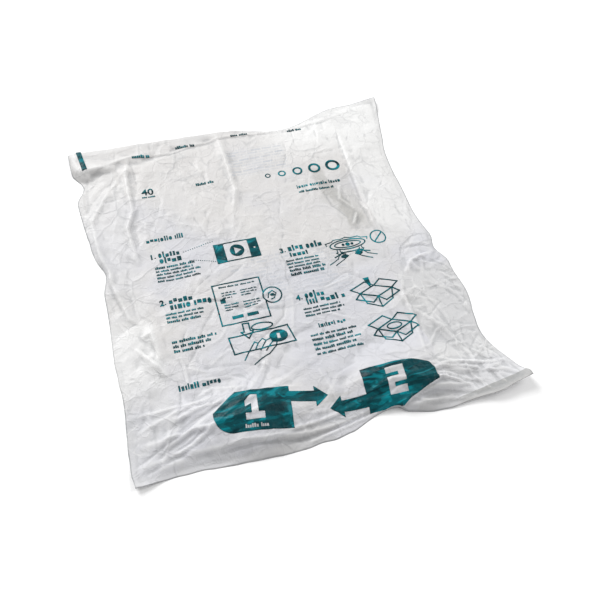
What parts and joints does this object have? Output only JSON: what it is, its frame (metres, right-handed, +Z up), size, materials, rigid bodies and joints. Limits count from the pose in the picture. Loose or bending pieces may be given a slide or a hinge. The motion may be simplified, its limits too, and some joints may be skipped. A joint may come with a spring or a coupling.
{
  "type": "instant foam packaging bag",
  "caption": "Flat sealed film bag with a rolled top hem, two bulging liquid pouches near its lower end and teal printed steps, for foam packing.",
  "frame": {"origin": "centre of the bag's outer box, on the surface it rests on", "axes": "+X across the bag to the right, +Y along the bag from the bottom seal to the rolled hem, +Z up out of the printed face"},
  "size_m": [0.375, 0.414, 0.0184],
  "materials": {
    "film": "thin white polyethylene film, soft gloss, slightly see-through",
    "ink": "teal flexographic ink, soft gloss"
  },
  "bodies": {
    "root": {"bag": "film", "left_field": "ink", "right_field": "ink", "end_stripe": "ink", "card_picture": "ink", "sheet_picture": "ink", "pad_picture": "ink", "burst_picture": "ink", "stop_picture": "ink", "open_carton_picture": "ink", "full_carton_picture": "ink", "upper_side_bar": "ink", "lower_side_bar": "ink", "step_1_bar": "ink", "step_2_bar": "ink", "step_3_bar": "ink", "step_4_bar": "ink", "step_5_bar": "ink", "step_6_bar": "ink"}
  },
  "joints": []
}
